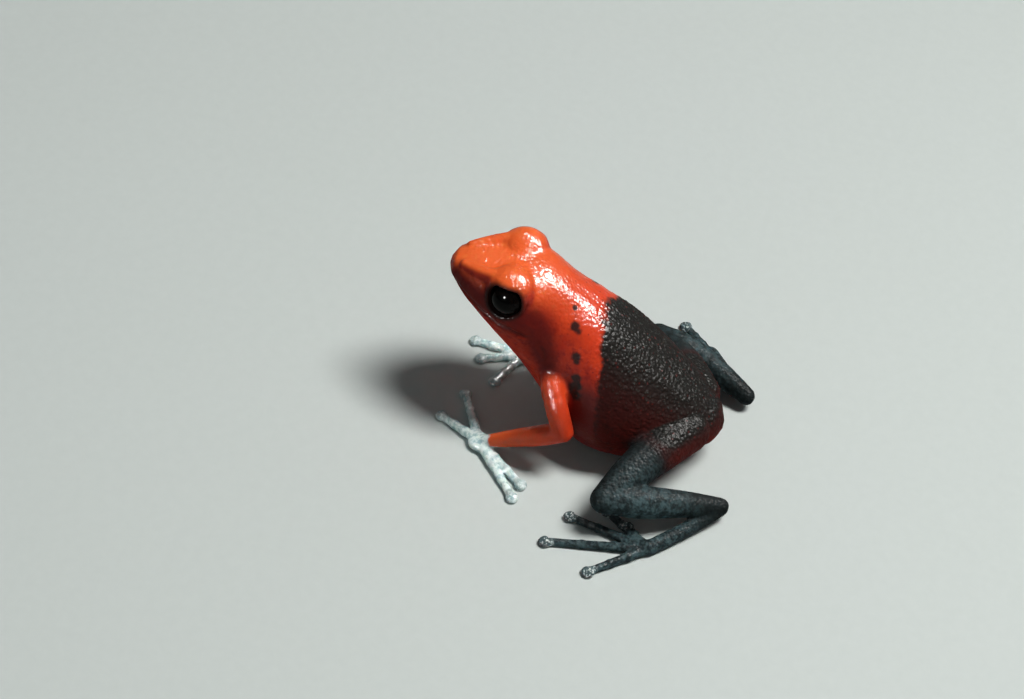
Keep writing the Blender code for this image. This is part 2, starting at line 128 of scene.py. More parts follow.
# The brow over each eye as (ahead, up, out, radius) from the eye's place
BROW = (
    (1.40, 0.74, -0.12, 0.34),
    (0.80, 0.98, 0.27, 0.27),
    (0.05, 1.05, 0.50, 0.26),
    (-0.60, 0.98, 0.33, 0.24),
    (-1.15, 0.75, -0.06, 0.20),
)

# The ridge from each eye to the snout, and the hollow below it, as (x, f, z, radius) in the head's frame
CANTHUS = ((0.95, 3.35, 0.10, 0.40), (1.45, 2.40, 0.42, 0.46), (1.85, 1.30, 0.78, 0.50))
HOLLOW = ((2.10, 2.60, -0.42, 0.50), (2.40, 2.05, -0.42, 0.60), (2.75, 1.50, -0.62, 0.45))
HOLLOW_DEPTH = 0.05
HOLLOW_REACH = 1.3

# Nostrils and ears, in the head's frame
NOSTRIL = Vector((1.16, 3.42, -0.12))
NOSTRIL_RADIUS = 0.14
NOSTRIL_DEPTH = 0.20
NOSTRIL_RIM = 0.05
NOSTRIL_RIM_AT = NOSTRIL_RADIUS * 1.9
NOSTRIL_PIT = NOSTRIL_RADIUS * 1.6
NOSTRIL_SHADE = NOSTRIL_RADIUS * 1.5
EAR = Vector((3.15, -2.05, -0.55))
EAR_RADIUS = 0.50
EAR_DEPTH = 0.035
EAR_RIM = 0.4 * EAR_DEPTH
EAR_RIM_AT = EAR_RADIUS * 1.25
EAR_RIM_WIDTH = EAR_RADIUS * 0.4
EAR_EDGE = EAR_RADIUS * 1.1
EAR_SLOPE = 0.25 * EAR_RADIUS

# Mouth: its line as (forward place, height), its corner, its furrow, where it fades out, and the lips
MOUTH = ((8.3, 11.82), (7.5, 11.68), (5.6, 11.22), (3.4, 10.62), (1.6, 10.02))
MOUTH_CORNER = 2.1
MOUTH_DEPTH = 0.14
MOUTH_WIDTH = 0.19
MOUTH_SHADE = 0.7 * MOUTH_WIDTH
MOUTH_FADE = 0.5
MOUTH_SIDE = 0.55
MOUTH_FRONT = 7.6
MOUTH_BLEND = 0.3
LIP_RISE = 0.04
LIP_HEIGHT = 0.32

# Limbs as (x, f, z, radius)
ARMS = {
    "left": (
        (2.70, 0.45, 7.20, 0.90),
        (3.90, 0.00, 6.65, 0.80),
        (4.80, -0.60, 5.75, 0.76),
        (5.15, -1.28, 4.15, 0.70),
    ),
    "right": (
        (-2.70, 0.45, 7.20, 0.90),
        (-3.95, -0.05, 6.60, 0.80),
        (-4.92, -0.72, 5.70, 0.76),
        (-5.28, -1.50, 4.05, 0.70),
    ),
}
FOREARMS = {
    "left": (
        (5.15, -1.28, 4.15, 0.70),
        (5.00, 0.15, 3.18, 0.70),
        (4.62, 1.85, 1.95, 0.60),
        (4.50, 3.40, 1.02, 0.46),
    ),
    "right": (
        (-5.28, -1.50, 4.05, 0.70),
        (-5.12, -0.25, 3.10, 0.70),
        (-4.75, 1.10, 1.95, 0.60),
        (-4.65, 2.40, 1.02, 0.46),
    ),
}
THIGHS = {
    "left": (
        (1.90, -9.00, 3.60, 1.50),
        (4.20, -7.60, 3.60, 1.45),
        (6.40, -6.30, 3.40, 1.25),
        (8.95, -5.00, 2.95, 0.95),
    ),
    "right": (
        (-1.90, -9.10, 3.40, 1.45),
        (-4.00, -7.85, 3.25, 1.35),
        (-5.65, -6.75, 2.90, 1.15),
        (-7.35, -5.40, 2.40, 0.90),
    ),
}
SHINS = {
    "left": (
        (8.95, -5.00, 2.95, 0.92),
        (8.20, -7.00, 2.62, 1.08),
        (6.85, -9.80, 1.95, 0.90),
        (5.60, -12.30, 1.25, 0.60),
    ),
    "right": (
        (-7.35, -5.40, 2.40, 0.88),
        (-6.95, -7.30, 2.20, 1.02),
        (-6.00, -9.80, 1.75, 0.88),
        (-4.90, -12.20, 1.20, 0.60),
    ),
}
TARSI = {
    "left": ((5.60, -12.30, 1.10, 0.58), (7.60, -10.60, 0.70, 0.50), (9.95, -8.45, 0.52, 0.52)),
    "right": ((-4.90, -12.20, 1.05, 0.58), (-6.60, -10.80, 0.70, 0.50), (-8.80, -9.10, 0.52, 0.52)),
}

# The middles of the palms, and the tips of the digits as (x, f)
PALMS = {"left": (4.29, 4.27, 0.42), "right": (-4.50, 3.30, 0.42)}
FINGER_TIPS = {
    "left": ((0.20, 6.20), (2.65, 7.22), (8.28, 1.03), (7.00, 0.75)),
    "right": ((-1.60, 4.60), (-3.40, 6.00), (-4.95, 6.75), (-7.30, 4.50)),
}
TOE_TIPS = {
    "left": ((8.35, -6.75), (7.45, -5.20), (8.68, -2.97), (11.28, -1.89), (12.90, -5.10)),
    "right": ((-7.30, -7.40), (-6.90, -5.80), (-8.00, -3.90), (-10.20, -2.80), (-11.10, -6.90)),
}

# Wrists, palms and soles
WRIST_RADIUS = 0.44
PALM_THICK = 0.48
PALM_RADII = (0.85, 0.80, 0.44)
SOLE_HEIGHT = 0.42

# Digits: where they start on the palm or sole, their radius and height, their joints and their discs
FINGER_REACH = 0.12
TOE_REACH = 0.06
DIGIT_RADIUS = 0.29
DIGIT_HEIGHT = 0.27
DIGIT_ARCH = 0.06
ROOT_SWELL = 0.06
TAPER = 0.02
TAPER_SHARE = 0.85
KNUCKLES = (0.30, 0.62)
KNUCKLE_SWELL = 0.05
DISC_RADIUS = 0.46
DISC_HEIGHT = 0.22
DISC_SINK = 0.02
SCUTE_SIDE = 0.19
SCUTE_AHEAD = 0.02
SCUTE_RISE = 0.17
SCUTE_RADII = (0.19, 0.19, 0.13)

# Where the skin is smoothed round a joint: (limb, row, radius), and (x, f, z, radius) beside the crown
LIMB_BLENDS = ((ARMS, 1, 2.0), (FOREARMS, 0, 1.0), (THIGHS, 1, 3.2), (SHINS, 0, 1.3), (TARSI, 0, 1.0))
PALM_BLEND = 1.4
SOLE_BLEND_HEIGHT = 0.5
CROWN_BLENDS = ((1.5, -1.9, 0.9, 1.6), (1.2, 2.0, 0.6, 1.6), (0.5, 0.0, 1.3, 1.5))
BROW_BLEND = 2.1
BROW_BLEND_UP = 1.35
BROW_BLEND_IN = 0.3
JOINT_EDGE = 1.6

# Folds of the left side as (route, width, depth): behind the jaw, before the arm and behind it
FOLDS = (
    (((3.50, 1.50, 9.90), (3.45, 0.90, 8.90), (3.10, 0.90, 7.60)), 0.20, 0.04),
    (((3.60, 1.10, 7.30), (4.10, 0.55, 6.50), (4.05, -0.60, 5.70)), 0.24, 0.08),
    (((3.75, -1.35, 8.70), (4.10, -1.40, 7.40), (4.15, -1.10, 6.10)), 0.24, 0.08),
)

# The fold of the groin as (share of the thigh's x, forward and up from the thigh)
GROIN = ((1.0, 1.75, 0.9), (0.98, 1.55, 0.0), (0.92, 1.3, -1.2))
GROIN_WIDTH = 0.26
GROIN_DEPTH = 0.10

# Faint folds across the throat
THROAT_HEIGHTS = (9.2, 8.2, 7.1)
THROAT_AHEAD = 3.2
THROAT_STEP = 0.75
THROAT_SAG = 0.5
THROAT_HALF = 2.4
THROAT_WIDTH = 0.16
THROAT_DEPTH = 0.025

# How a fold is cut: its fading ends, the swelling beside it and the painted shade in it
FOLD_COUNT = 60
FOLD_FADE = 4
FOLD_END = 0.35
FOLD_SWELL = 0.35
SWELL_AT = 1.5
SWELL_WIDTH = 0.9
FOLD_SHADE = 0.6

# Low forms under the skin: a shoulder blade, the ridge of a hip bone and the furrow of the spine
BLADE = (2.2, -0.6, 10.8)
BLADE_RADII = (1.0, 1.7, 1.2)
BLADE_REACH = 1.2
HIP = ((1.75, -5.6, 7.7, 0.8), (1.5, -7.4, 6.35, 0.8), (0.8, -9.3, 5.0, 0.7))
HIP_FADE = 5
FORM_RISE = 0.10
SPINE_HALF = 0.55
SPINE_REAR = (-9.0, -7.0)
SPINE_FRONT = (-0.5, 1.5)
SPINE_DEPTH = 0.05

# The border between the red front and the dark rear, which is also the edge of the painted shadow over the
# rear, as (height, forward place)
REAR_SHADOW_BORDER = (
    (3.0, -3.25), (7.6, -2.95), (8.7, -2.83), (9.3, -2.71), (10.2, -2.48), (10.85, -2.21),
    (11.2, -1.95),
)

# Black spots as (x, f, z, radius), of the left side and then of the right
SPOTS = (
    (2.23, -0.62, 10.97, 0.30),
    (2.30, -0.80, 10.72, 0.26),
    (1.42, -0.35, 11.75, 0.16),
    (3.28, -1.11, 9.30, 0.30),
    (3.36, -1.22, 8.98, 0.22),
    (3.80, -1.42, 7.90, 0.34),
    (3.98, -1.48, 7.40, 0.40),
    (4.08, -1.50, 6.80, 0.42),
    (-2.05, -0.95, 10.95, 0.30),
    (-3.20, -0.70, 9.55, 0.26),
    (-3.30, -1.50, 8.80, 0.24),
    (-3.98, -1.48, 7.20, 0.42),
    (-4.05, -1.50, 6.60, 0.36),
)

# Painted shade: a darker band from before the eye back to the arm, as (x, f, z, radius) in the head's frame
SHADE_BAND = (
    (1.35, 3.60, -0.55, 1.20),
    (2.20, 2.00, -0.55, 1.65),
    (3.05, -0.40, -0.65, 1.90),
    (3.30, -2.20, -1.30, 1.75),
    (3.60, -3.20, -2.90, 1.30),
    (3.70, -3.90, -4.60, 0.70),
)

# Where the fields of the skin fade, as (from, to), and where they end
SHADE_BAND_EDGE = (0.25, 1.05)
LEG_EDGE = (1.05, 1.5)
THIGH_START = (0.28, 0.5)
ARM_EDGE = (1.1, 1.5)
ARM_START = (0.1, 0.3)
DIGIT_EDGE = (1.3, 1.9)
DIGIT_COUNT = 24
DISC_FADE = 0.25
FOOT_FADE = (1.0, 5.5)
CHEST_SHADE_TOP = (6.8, 8.5)
CHEST_SHADE_FRONT = (-0.8, 1.2)
AHEAD = (-2.5, 4.5)
LEG_FRONT = -1.0
FOOT_FRONT = -1.5
OFF_HAND = -9.0
HAND_REACH = 6.5
HAND_HEIGHT = 1.8
HAND_REAR = 0.2
CUFF_HEIGHT = 1.0

# Granules: their size and depth, their amount everywhere, on top, at the rear and on the limbs
GRANULE_SIZE = 0.30
GRANULE_DEPTH = 0.11
GRANULE_LEVEL = 0.45
GRANULES = 0.08
GRANULES_TOP = 0.14
GRANULES_REAR = 0.08
GRANULES_REAR_TOP = 0.38
GRANULES_ARM = -0.08
GRANULES_LEG = 0.08
SMOOTHER = 0.8

# Colours of the skin: the front, the rear, the legs and feet, the hands, and the furrows and lids, among
# them painted light, painted shade and painted glints
RED_DEEP = (0.34, 0.018, 0.008)
RED = (0.46, 0.032, 0.009)
RED_MOTTLE = (0.21, 0.010, 0.007)
# Lighter top colours, painted light where the skin faces up, over the crown's own orange
NECK_RED_LIT = (0.70, 0.056, 0.014)
CROWN_ORANGE_LIT = (0.86, 0.135, 0.028)
CROWN_YELLOW = (0.90, 0.24, 0.045)
# Painted shade beside the eye
SHADE_BAND_RED = (0.080, 0.007, 0.006)
# Painted shade on the lower chest
CHEST_SHADE_RED = (0.10, 0.010, 0.008)
SPOT_BLACK = (0.013, 0.010, 0.009)
# The dark rear, partly the frog's dark back and partly painted shadow: the maroon is red in painted shade
SHADED_MAROON_DEEP = (0.034, 0.006, 0.005)
SHADED_MAROON = (0.14, 0.012, 0.008)
SHADED_MAROON_MOTTLE = (0.028, 0.008, 0.006)
BACK_BLACK = (0.007, 0.006, 0.005)
# Painted grey-green glints on the granules of the back
BACK_GLINT_GREY = (0.036, 0.044, 0.039)
FRECKLE = (0.09, 0.010, 0.008)
LEG_BLACK = (0.005, 0.007, 0.007)
LEG_GREY = (0.012, 0.017, 0.018)
LEG_SPECK = (0.045, 0.065, 0.064)
TOE_DARK = (0.016, 0.027, 0.030)
TOE_BLUE = (0.065, 0.11, 0.12)
HAND_BLUE = (0.38, 0.60, 0.62)
HAND_PALE = (0.85, 0.97, 0.95)
HAND_CLOUD = (0.13, 0.23, 0.25)
DISC_GREY = (0.13, 0.19, 0.20)
DISC_FLECK = (0.70, 0.78, 0.78)
# Painted shade in the furrows, the mouth and the nostrils
CREASE_SHADE_RED = (0.09, 0.012, 0.008)
# Dark lid rims, widened with painted shade round the eyes
RIM_AND_SHADE_BLACK = (0.012, 0.006, 0.005)

# Gloss of the skin: its roughness, and a wet coat that is drier in some places and wetter on the arms
ROUGH = 0.36
ROUGH_GRAIN = 0.20
ROUGH_REAR = 0.20
SPECULAR = 0.02
COAT = 0.30
COAT_ARM = 0.15
COAT_ROUGH = 0.15
DRY_HEAD = 0.22
DRY_UNDER = 0.20
DRY_REAR = 0.285
CREST = 0.025

# Light under the skin
SUBSURFACE = 0.10
SUBSURFACE_RADIUS = (1.0, 0.35, 0.2)
SUBSURFACE_SCALE = 0.35

# Relief in the shading: depth and strength of the pebbles and of the fine grain
PEBBLE_DEPTH = 0.13
PEBBLE = 0.20
PEBBLE_REAR = 0.30
PEBBLE_ARM = 0.15
GRAIN_DEPTH = 0.03
GRAIN = 0.25
GRAIN_ARM = 0.75

# Eyes: colours and gloss
IRIS_DARK = (0.0015, 0.0010, 0.0010)
IRIS_BROWN = (0.0050, 0.0025, 0.0015)
PUPIL_BLACK = (0.001, 0.001, 0.001)
EYE_EDGE = (0.004, 0.002, 0.002)
EYE_ROUGH = 0.10
EYE_COAT = 0.06
EYE_COAT_ROUGH = 0.02

# Floor, world and lamps: (name, way to it, distance, width, height, watts, colour, lights all), in metres
FLOOR_HALF = 0.6
FLOOR_DARK = (0.53, 0.58, 0.57)
FLOOR_PALE = (0.57, 0.62, 0.61)
FLOOR_ROUGH = 0.85
WORLD_COLOUR = (0.86, 0.93, 0.93, 1.0)
WORLD_STRENGTH = 0.10
WARM = (1.0, 0.98, 0.95)
LAMPS = (
    ("key", (0.00, -0.36, 0.93), 0.30, 0.070, 0.13, 1.0, WARM, True),
    ("nape_gloss", (-0.40, -0.68, 0.61), 0.30, 0.10, 0.08, 1.8, WARM, False),
    ("crown_gloss", (-0.44, -0.40, 0.80), 0.30, 0.13, 0.13, 5.4, WARM, False),
    ("top_gloss", (-0.45, 0.08, 0.88), 0.30, 0.08, 0.08, 1.5, WARM, False),
    ("near_gloss", (0.75, 0.35, 0.50), 0.30, 0.050, 0.060, 2.2, (1.0, 0.99, 0.97), False),
    ("fill", (0.8, 0.5, 0.6), 0.40, 0.30, 0.30, 0.03, (0.90, 1.0, 1.0), True),
)
LAMP_AIM = Vector((0, 0, 0.007))

# Camera: its direction, roll and scale at the point between the eyes, and where that point falls
IMAGE_WIDTH = 1024
IMAGE_MIDDLE = (512.0, 349.5)
AZIMUTH = math.radians(97.75)
ELEVATION = math.radians(45.26)
ROLL = math.radians(8.0)
LENS = 100.0
SENSOR = 36.0
PIXELS_PER_MM = 15.5
CLIP_END = 10.0
EYE_MID_PIXEL = (518.37, 272.44)


def sampled(rows, count):
    """A smooth curve through the rows, read at count places: each row is a point followed by its sizes."""
    rows = np.array(rows, float)
    steps = np.linalg.norm(np.diff(rows[:, :3], axis=0), axis=1)
    along = np.concatenate([[0.0], np.cumsum(steps)])
    slopes = np.gradient(rows, along, axis=0)
    places = np.linspace(0.0, along[-1], count)
    cell = np.clip(np.searchsorted(along, places, side="right") - 1, 0, len(rows) - 2)
    length = (along[cell + 1] - along[cell])[:, None]
    t = (places[:, None] - along[cell][:, None]) / length
    near = (1 + 2 * t) * (1 - t) ** 2
    far = t * t * (3 - 2 * t)
    bend = t * (1 - t) * length * ((1 - t) * slopes[cell] - t * slopes[cell + 1])
    return near * rows[cell] + far * rows[cell + 1] + bend


class Flesh:
    """Closed forms that overlap, gathered in one mesh before they are fused."""

    def __init__(self):
        self.points = []
        self.faces = []

    def rings(self, rings):
        """Joins rings of equal size into a closed form."""
        base = len(self.points)
        sides = len(rings[0])
        for ring in rings:
            self.points.extend(ring)
        for i in range(len(rings) - 1):
            for j in range(sides):
                a = base + i * sides + j
                b = base + i * sides + (j + 1) % sides
                self.faces.append((a, b, b + sides, a + sides))
        last = base + (len(rings) - 1) * sides
        self.faces.append(tuple(base + j for j in reversed(range(sides))))
        self.faces.append(tuple(last + j for j in range(sides)))

    def tube(self, rows, count=32, sides=28):
        """A limb of round section with round ends."""
        rows = sampled(rows, count)
        rings = []
        for row, way in zip(rows, np.gradient(rows[:, :3], axis=0)):
            way = Vector(way).normalized()
            side = way.orthogonal().normalized()
            rise = way.cross(side)
            centre = Vector(row[:3])
            radius = float(row[3])
            rings.append([centre + (side * math.cos(a) + rise * math.sin(a)) * radius for a in turns(sides)])
        self.rings(rings)
        self.ball(rows[0, :3], (rows[0, 3],) * 3)
        self.ball(rows[-1, :3], (rows[-1, 3],) * 3)

    def ball(self, centre, radii, sides=28, rows=16):
        """An ellipsoid."""
        rings = []
        for i in range(rows):
            polar = math.pi * (i + 0.5) / rows
            flat = math.sin(polar)
            ring = []
            for a in turns(sides):
                out = (flat * math.cos(a), flat * math.sin(a), -math.cos(polar))
                ring.append(Vector([c + r * o for c, r, o in zip(centre, radii, out)]))
            rings.append(ring)
        self.rings(rings)


def turns(count):
    return [2 * math.pi * i / count for i in range(count)]


def mirrored(vector, sign):
    return Vector((sign * vector[0], vector[1], vector[2]))


def head_point(side, forward, up):
    """A place given in the head's own frame, from the point midway between the eyeballs."""
    c, s = math.cos(HEAD_PITCH), math.sin(HEAD_PITCH)
    return Vector((side, EYE_MID.y + forward * c - up * s, EYE_MID.z + forward * s + up * c))


def head_rows(rows, sign):
    """Rows of (x, f, z, radius) in the head's frame, for one side."""
    return [(*head_point(sign * x, f, z), radius) for x, f, z, radius in rows]


def eye_centre(sign):
    return head_point(sign * EYE_SIDE, 0.0, 0.0)


def eye_place(sign):
    return eye_centre(sign) + mirrored(EYE_AXIS, sign) * EYE_FORWARD


def eye_frame(sign):
    """The eye's axis, the way up across it and the way forward across it."""
    axis = mirrored(EYE_AXIS, sign)
    up = (Vector((0, 0, 1)) - axis * axis.z).normalized()
    ahead = axis.cross(up) * -sign
    return axis, up, ahead


def trunk_rings(sides=88, count=170):
    rows = np.array(TRUNK)
    rows = sampled(np.column_stack([np.zeros(len(rows)), rows]), count)
    rings = []
    for _, f, z, half, above, below, square_above, square_below in rows:
        ring = []
        for a in turns(sides):
            c, s = math.cos(a), math.sin(a)
            power = 2 / (square_above if s >= 0 else square_below)
            rise = (above if s >= 0 else below) * math.copysign(abs(s) ** power, s)
            ring.append(Vector((half * math.copysign(abs(c) ** power, c), f, z + rise)))
        rings.append(ring)
    return rings


def digit_route(root, tip, reach):
    """A finger or toe from the middle of the palm or foot to the disc at its tip, low on the floor."""
    root = Vector(root)
    tip = Vector((tip[0], tip[1], DIGIT_HEIGHT))
    start = root.lerp(Vector((tip.x, tip.y, root.z)), reach)
    middle = start.lerp(tip, 0.5)
    middle.z = DIGIT_HEIGHT + DIGIT_ARCH
    return (
        (*start, DIGIT_RADIUS + ROOT_SWELL),
        (*middle, DIGIT_RADIUS),
        (*start.lerp(tip, TAPER_SHARE).xy, DIGIT_HEIGHT, DIGIT_RADIUS - TAPER),
        (*tip, DIGIT_RADIUS - TAPER),
    )


def add_digit(flesh, root, tip, reach):
    """A digit with slight swellings at its joints, and a disc that carries two scutes."""
    route = digit_route(root, tip, reach)
    flesh.tube(route, 16, 16)
    curve = sampled(route, 101)
    for share in KNUCKLES:
        x, f, z, radius = curve[int(share * 100)]
        flesh.ball((x, f, z), (radius + KNUCKLE_SWELL,) * 3, 16, 10)
    flesh.ball((*tip, DISC_HEIGHT), (DISC_RADIUS, DISC_RADIUS, DISC_HEIGHT + DISC_SINK), 24, 10)
    along = (Vector(curve[-1, :2]) - Vector(curve[-20, :2])).normalized()
    across = Vector((-along.y, along.x))
    for sign in (1, -1):
        place = Vector(tip) + across * (sign * SCUTE_SIDE) + along * SCUTE_AHEAD
        flesh.ball((place.x, place.y, DISC_HEIGHT + SCUTE_RISE), SCUTE_RADII, 14, 8)


def digit_routes():
    """Every finger and toe as (root, tip, reach)."""
    routes = []
    for side, _ in SIDES:
        sole = (*TARSI[side][-1][:2], SOLE_HEIGHT)
        routes.extend((PALMS[side], tip, FINGER_REACH) for tip in FINGER_TIPS[side])
        routes.extend((sole, tip, TOE_REACH) for tip in TOE_TIPS[side])
    return routes


def add_eye_forms(flesh, sign):
    """The bulge under an eye with its fills, the ring of the lids and the brow."""
    flesh.ball(eye_centre(sign) + mirrored(BULGE_OFFSET, sign), (BULGE_RADIUS,) * 3, 40, 24)
    for x, f, z, radius in BULGE_FILLS:
        flesh.ball(head_point(sign * x, f, z), (radius,) * 3, 40, 24)
    axis, up, ahead = eye_frame(sign)
    for a in turns(64):
        upper = max(0.0, math.sin(a))
        radius = LID_RADIUS - UPPER_LID_IN * upper
        thick = LID_THICK + UPPER_LID_THICKER * upper
        place = eye_centre(sign) + axis * (LID_FORWARD - UPPER_LID_BACK * upper)
        flesh.ball(place + (ahead * math.cos(a) + up * math.sin(a)) * radius, (thick,) * 3, 12, 8)
    brow = [eye_place(sign) + ahead * u + up * v + axis * w for u, v, w, _ in BROW]
    flesh.tube([(*place, row[3]) for place, row in zip(brow, BROW)], 24)


def build_flesh():
    flesh = Flesh()
    flesh.rings(trunk_rings())
    for side, sign in SIDES:
        add_eye_forms(flesh, sign)
        flesh.tube(head_rows(CANTHUS, sign), 16)
        for limb in (ARMS, FOREARMS, THIGHS, SHINS, TARSI):
            flesh.tube(limb[side])
        flesh.tube(((*FOREARMS[side][-1][:3], WRIST_RADIUS), (*PALMS[side], PALM_THICK)), 10)
        flesh.ball(PALMS[side], PALM_RADII)
    for root, tip, reach in digit_routes():
        add_digit(flesh, root, tip, reach)
    return flesh


def to_world(points):
    """From (x, f, z) to the world, where the frog faces -Y."""
    points = np.array(points, float)
    points[:, 1] *= -1
    return points


def object_of(name, points, faces):
    mesh = bpy.data.meshes.new(name)
    mesh.from_pydata([tuple(p) for p in points], [], faces)
    mesh.update()
    obj = bpy.data.objects.new(name, mesh)
    bpy.context.scene.collection.objects.link(obj)
    return obj


def orient(obj):
    bm = bmesh.new()
    bm.from_mesh(obj.data)
    bmesh.ops.recalc_face_normals(bm, faces=bm.faces)
    bm.to_mesh(obj.data)
    bm.free()


def apply_modifiers(obj):
    graph = bpy.context.evaluated_depsgraph_get()
    mesh = bpy.data.meshes.new_from_object(obj.evaluated_get(graph))
    obj.modifiers.clear()
    old = obj.data
    obj.data = mesh
    bpy.data.meshes.remove(old)


def read(obj, what):
    """The vertices' places, "co", or their normals, "normal", as (x, f, z)."""
    values = np.empty(len(obj.data.vertices) * 3, np.float32)
    obj.data.vertices.foreach_get(what, values)
    return to_world(values.reshape(-1, 3))


def write_points(obj, points):
    obj.data.vertices.foreach_set("co", to_world(points).astype(np.float32).ravel())
    obj.data.update()


def add_field(obj, name, values):
    """A number for each vertex, which the material reads."""
    attribute = obj.data.attributes.new(name, "FLOAT", "POINT")
    attribute.data.foreach_set("value", np.asarray(values, np.float32))


def weigh(obj, name, weights):
    """A vertex group with a few levels of weight."""
    group = obj.vertex_groups.new(name=name)
    levels = np.round(weights * WEIGHT_LEVELS)
    for level in range(1, WEIGHT_LEVELS + 1):
        chosen = np.flatnonzero(levels == level)
        if len(chosen):
            group.add(chosen.tolist(), level / WEIGHT_LEVELS, "REPLACE")


def fused(flesh):
    """One closed surface round all the forms."""
    obj = object_of("skin", to_world(flesh.points), flesh.faces)
    orient(obj)
    remesh = obj.modifiers.new("Fuse", "REMESH")
    remesh.mode = "VOXEL"
    remesh.voxel_size = VOXEL
    apply_modifiers(obj)
    return obj


def soften(obj):
    """Smooths the whole surface a little and the joints more, so that the forms run together."""
    points = read(obj, "co")
    weights = np.zeros(len(points))
    for place, radius in joint_places():
        distance = distances(points, place) / radius
        weights = np.maximum(weights, np.clip(JOINT_EDGE * (1 - distance), 0, 1))
    weigh(obj, "joints", weights)
    joints = obj.modifiers.new("Joints", "SMOOTH")
    joints.factor = SMOOTH_FACTOR
    joints.iterations = JOINT_REPEATS
    joints.vertex_group = "joints"
    overall = obj.modifiers.new("Overall", "SMOOTH")
    overall.factor = SMOOTH_FACTOR
    overall.iterations = OVERALL_REPEATS
    apply_modifiers(obj)
    obj.vertex_groups.clear()


def joint_places():
    """Where two forms meet, as (place, radius)."""
    places = []
    for side, sign in SIDES:
        for limb, row, radius in LIMB_BLENDS:
            places.append((limb[side][row][:3], radius))
        places.append((PALMS[side], PALM_BLEND))
        places.append(((*TARSI[side][-1][:2], SOLE_BLEND_HEIGHT), PALM_BLEND))
        for *place, radius in head_rows(CROWN_BLENDS, sign):
            places.append((place, radius))
        axis, up, _ = eye_frame(sign)
        places.append((eye_centre(sign) + up * BROW_BLEND_UP - axis * BROW_BLEND_IN, BROW_BLEND))
    return places


def distances(points, place):
    return np.linalg.norm(points - np.array(place), axis=1)


def bump(distance, radius):
    """1 at no distance, falling smoothly to 0 at the radius."""
    t = np.clip(1 - (distance / radius) ** 2, 0, 1)
    return t * t


def ramp(values, low, high):
    """0 below low, 1 above high and smooth between."""
    t = np.clip((values - low) / (high - low), 0, 1)
    return t * t * (3 - 2 * t)


def faded(share, start, end):
    """1 along the middle of a curve, falling to 0 at its ends, the steeper the larger the numbers."""
    return np.clip(start * share, 0, 1) * np.clip(end * (1 - share), 0, 1)


def from_curve(points, rows, count=48):
    """Each point's distance from a curve, in shares of the radius there, and its place along it, 0 to 1."""
    curve = sampled(rows, count)
    best = np.full(len(points), 1e9)
    share = np.zeros(len(points))
    for i, row in enumerate(curve):
        distance = np.linalg.norm(points - row[:3], axis=1) / row[3]
        closer = distance < best
        best[closer] = distance[closer]
        share[closer] = i / (count - 1)
    return best, share


def carve_head(points, normals, creases):
    """The line of the mouth with its lips, the hollows before the eyes, the nostrils and the ears."""
    rows = np.array(TRUNK)[::-1]
    mouth = np.array(MOUTH)[::-1]
    above = points[:, 2] - np.interp(points[:, 1], mouth[:, 0], mouth[:, 1])
    along = np.clip((points[:, 1] - MOUTH_CORNER) / MOUTH_FADE, 0, 1)
    half = np.interp(points[:, 1], rows[:, 0], rows[:, 2])
    side = np.clip((np.abs(points[:, 0]) / half - MOUTH_SIDE) / MOUTH_BLEND, 0, 1)
    front = np.clip((points[:, 1] - MOUTH_FRONT) / MOUTH_BLEND, 0, 1)
    reach = along * np.maximum(side, front)
    groove = bump(above, MOUTH_WIDTH)
    lips = LIP_RISE * (bump(above - LIP_HEIGHT, LIP_HEIGHT) + bump(above + LIP_HEIGHT, LIP_HEIGHT))
    shift = reach * (lips - MOUTH_DEPTH * groove)
    # Painted shade along the mouth's furrow
    np.maximum(creases, reach * bump(above, MOUTH_SHADE), out=creases)
    for sign in (1, -1):
        far, _ = from_curve(points, head_rows(HOLLOW, sign))
        shift -= HOLLOW_DEPTH * bump(far, HOLLOW_REACH)
        far = distances(points, head_point(sign * NOSTRIL.x, NOSTRIL.y, NOSTRIL.z))
        shift += NOSTRIL_RIM * bump(far - NOSTRIL_RIM_AT, NOSTRIL_RADIUS)
        shift -= NOSTRIL_DEPTH * bump(far, NOSTRIL_PIT)
        # Painted shade in the nostril
        np.maximum(creases, bump(far, NOSTRIL_SHADE), out=creases)
        far = distances(points, head_point(sign * EAR.x, EAR.y, EAR.z))
        shift += EAR_RIM * bump(far - EAR_RIM_AT, EAR_RIM_WIDTH)
        shift -= EAR_DEPTH * np.clip((EAR_EDGE - far) / EAR_SLOPE, 0, 1)
    return points + normals * shift[:, None]


def open_eyes(points, rims):
    """Sinks the skin behind each eyeball, up to the edge of the lids, of which the upper one is flatter."""
    for sign in (1, -1):
        axis, up, _ = (np.array(way) for way in eye_frame(sign))
        local = points - np.array(eye_place(sign))
        along = local @ axis
        across = np.linalg.norm(local - along[:, None] * axis, axis=1)
        near = (along > SOCKET_BACK) & (across < SOCKET_ACROSS) & (along < SOCKET_FRONT)
        opening = np.logaddexp(across / LID_BLEND, (local @ up + LID_DROP) / LID_BLEND) * LID_BLEND
        inside = 1 - ramp(opening, APERTURE, APERTURE + LID_SLOPE)
        ball = EYE_DEPTH * np.sqrt(np.clip(1 - (across / EYE_RADIUS) ** 2, 0, 1))
        target = np.minimum(along, ball - SOCKET_GAP)
        points = points + (near * inside * (target - along))[:, None] * axis
        # The dark rim of the lids, widened with painted shade round the eye
        edge = near * (1 - ramp(opening, APERTURE + RIM_START, APERTURE + RIM_END))
        np.maximum(rims, edge, out=rims)
    return points


def crease(points, normals, creases, route, width, depth):
    """A soft furrow along a route of (x, f, z) points."""
    rows = [(*place, width) for place in route]
    distance, share = from_curve(points, rows, FOLD_COUNT)
    ends = faded(share, FOLD_FADE, FOLD_FADE)
    furrow = bump(distance, 1.0) * (FOLD_END + (1 - FOLD_END) * ends)
    swell = FOLD_SWELL * bump(distance - SWELL_AT, SWELL_WIDTH)
    # Painted shade along the furrow
    np.maximum(creases, FOLD_SHADE * furrow, out=creases)
    return points + normals * (depth * (swell * ends - furrow))[:, None]


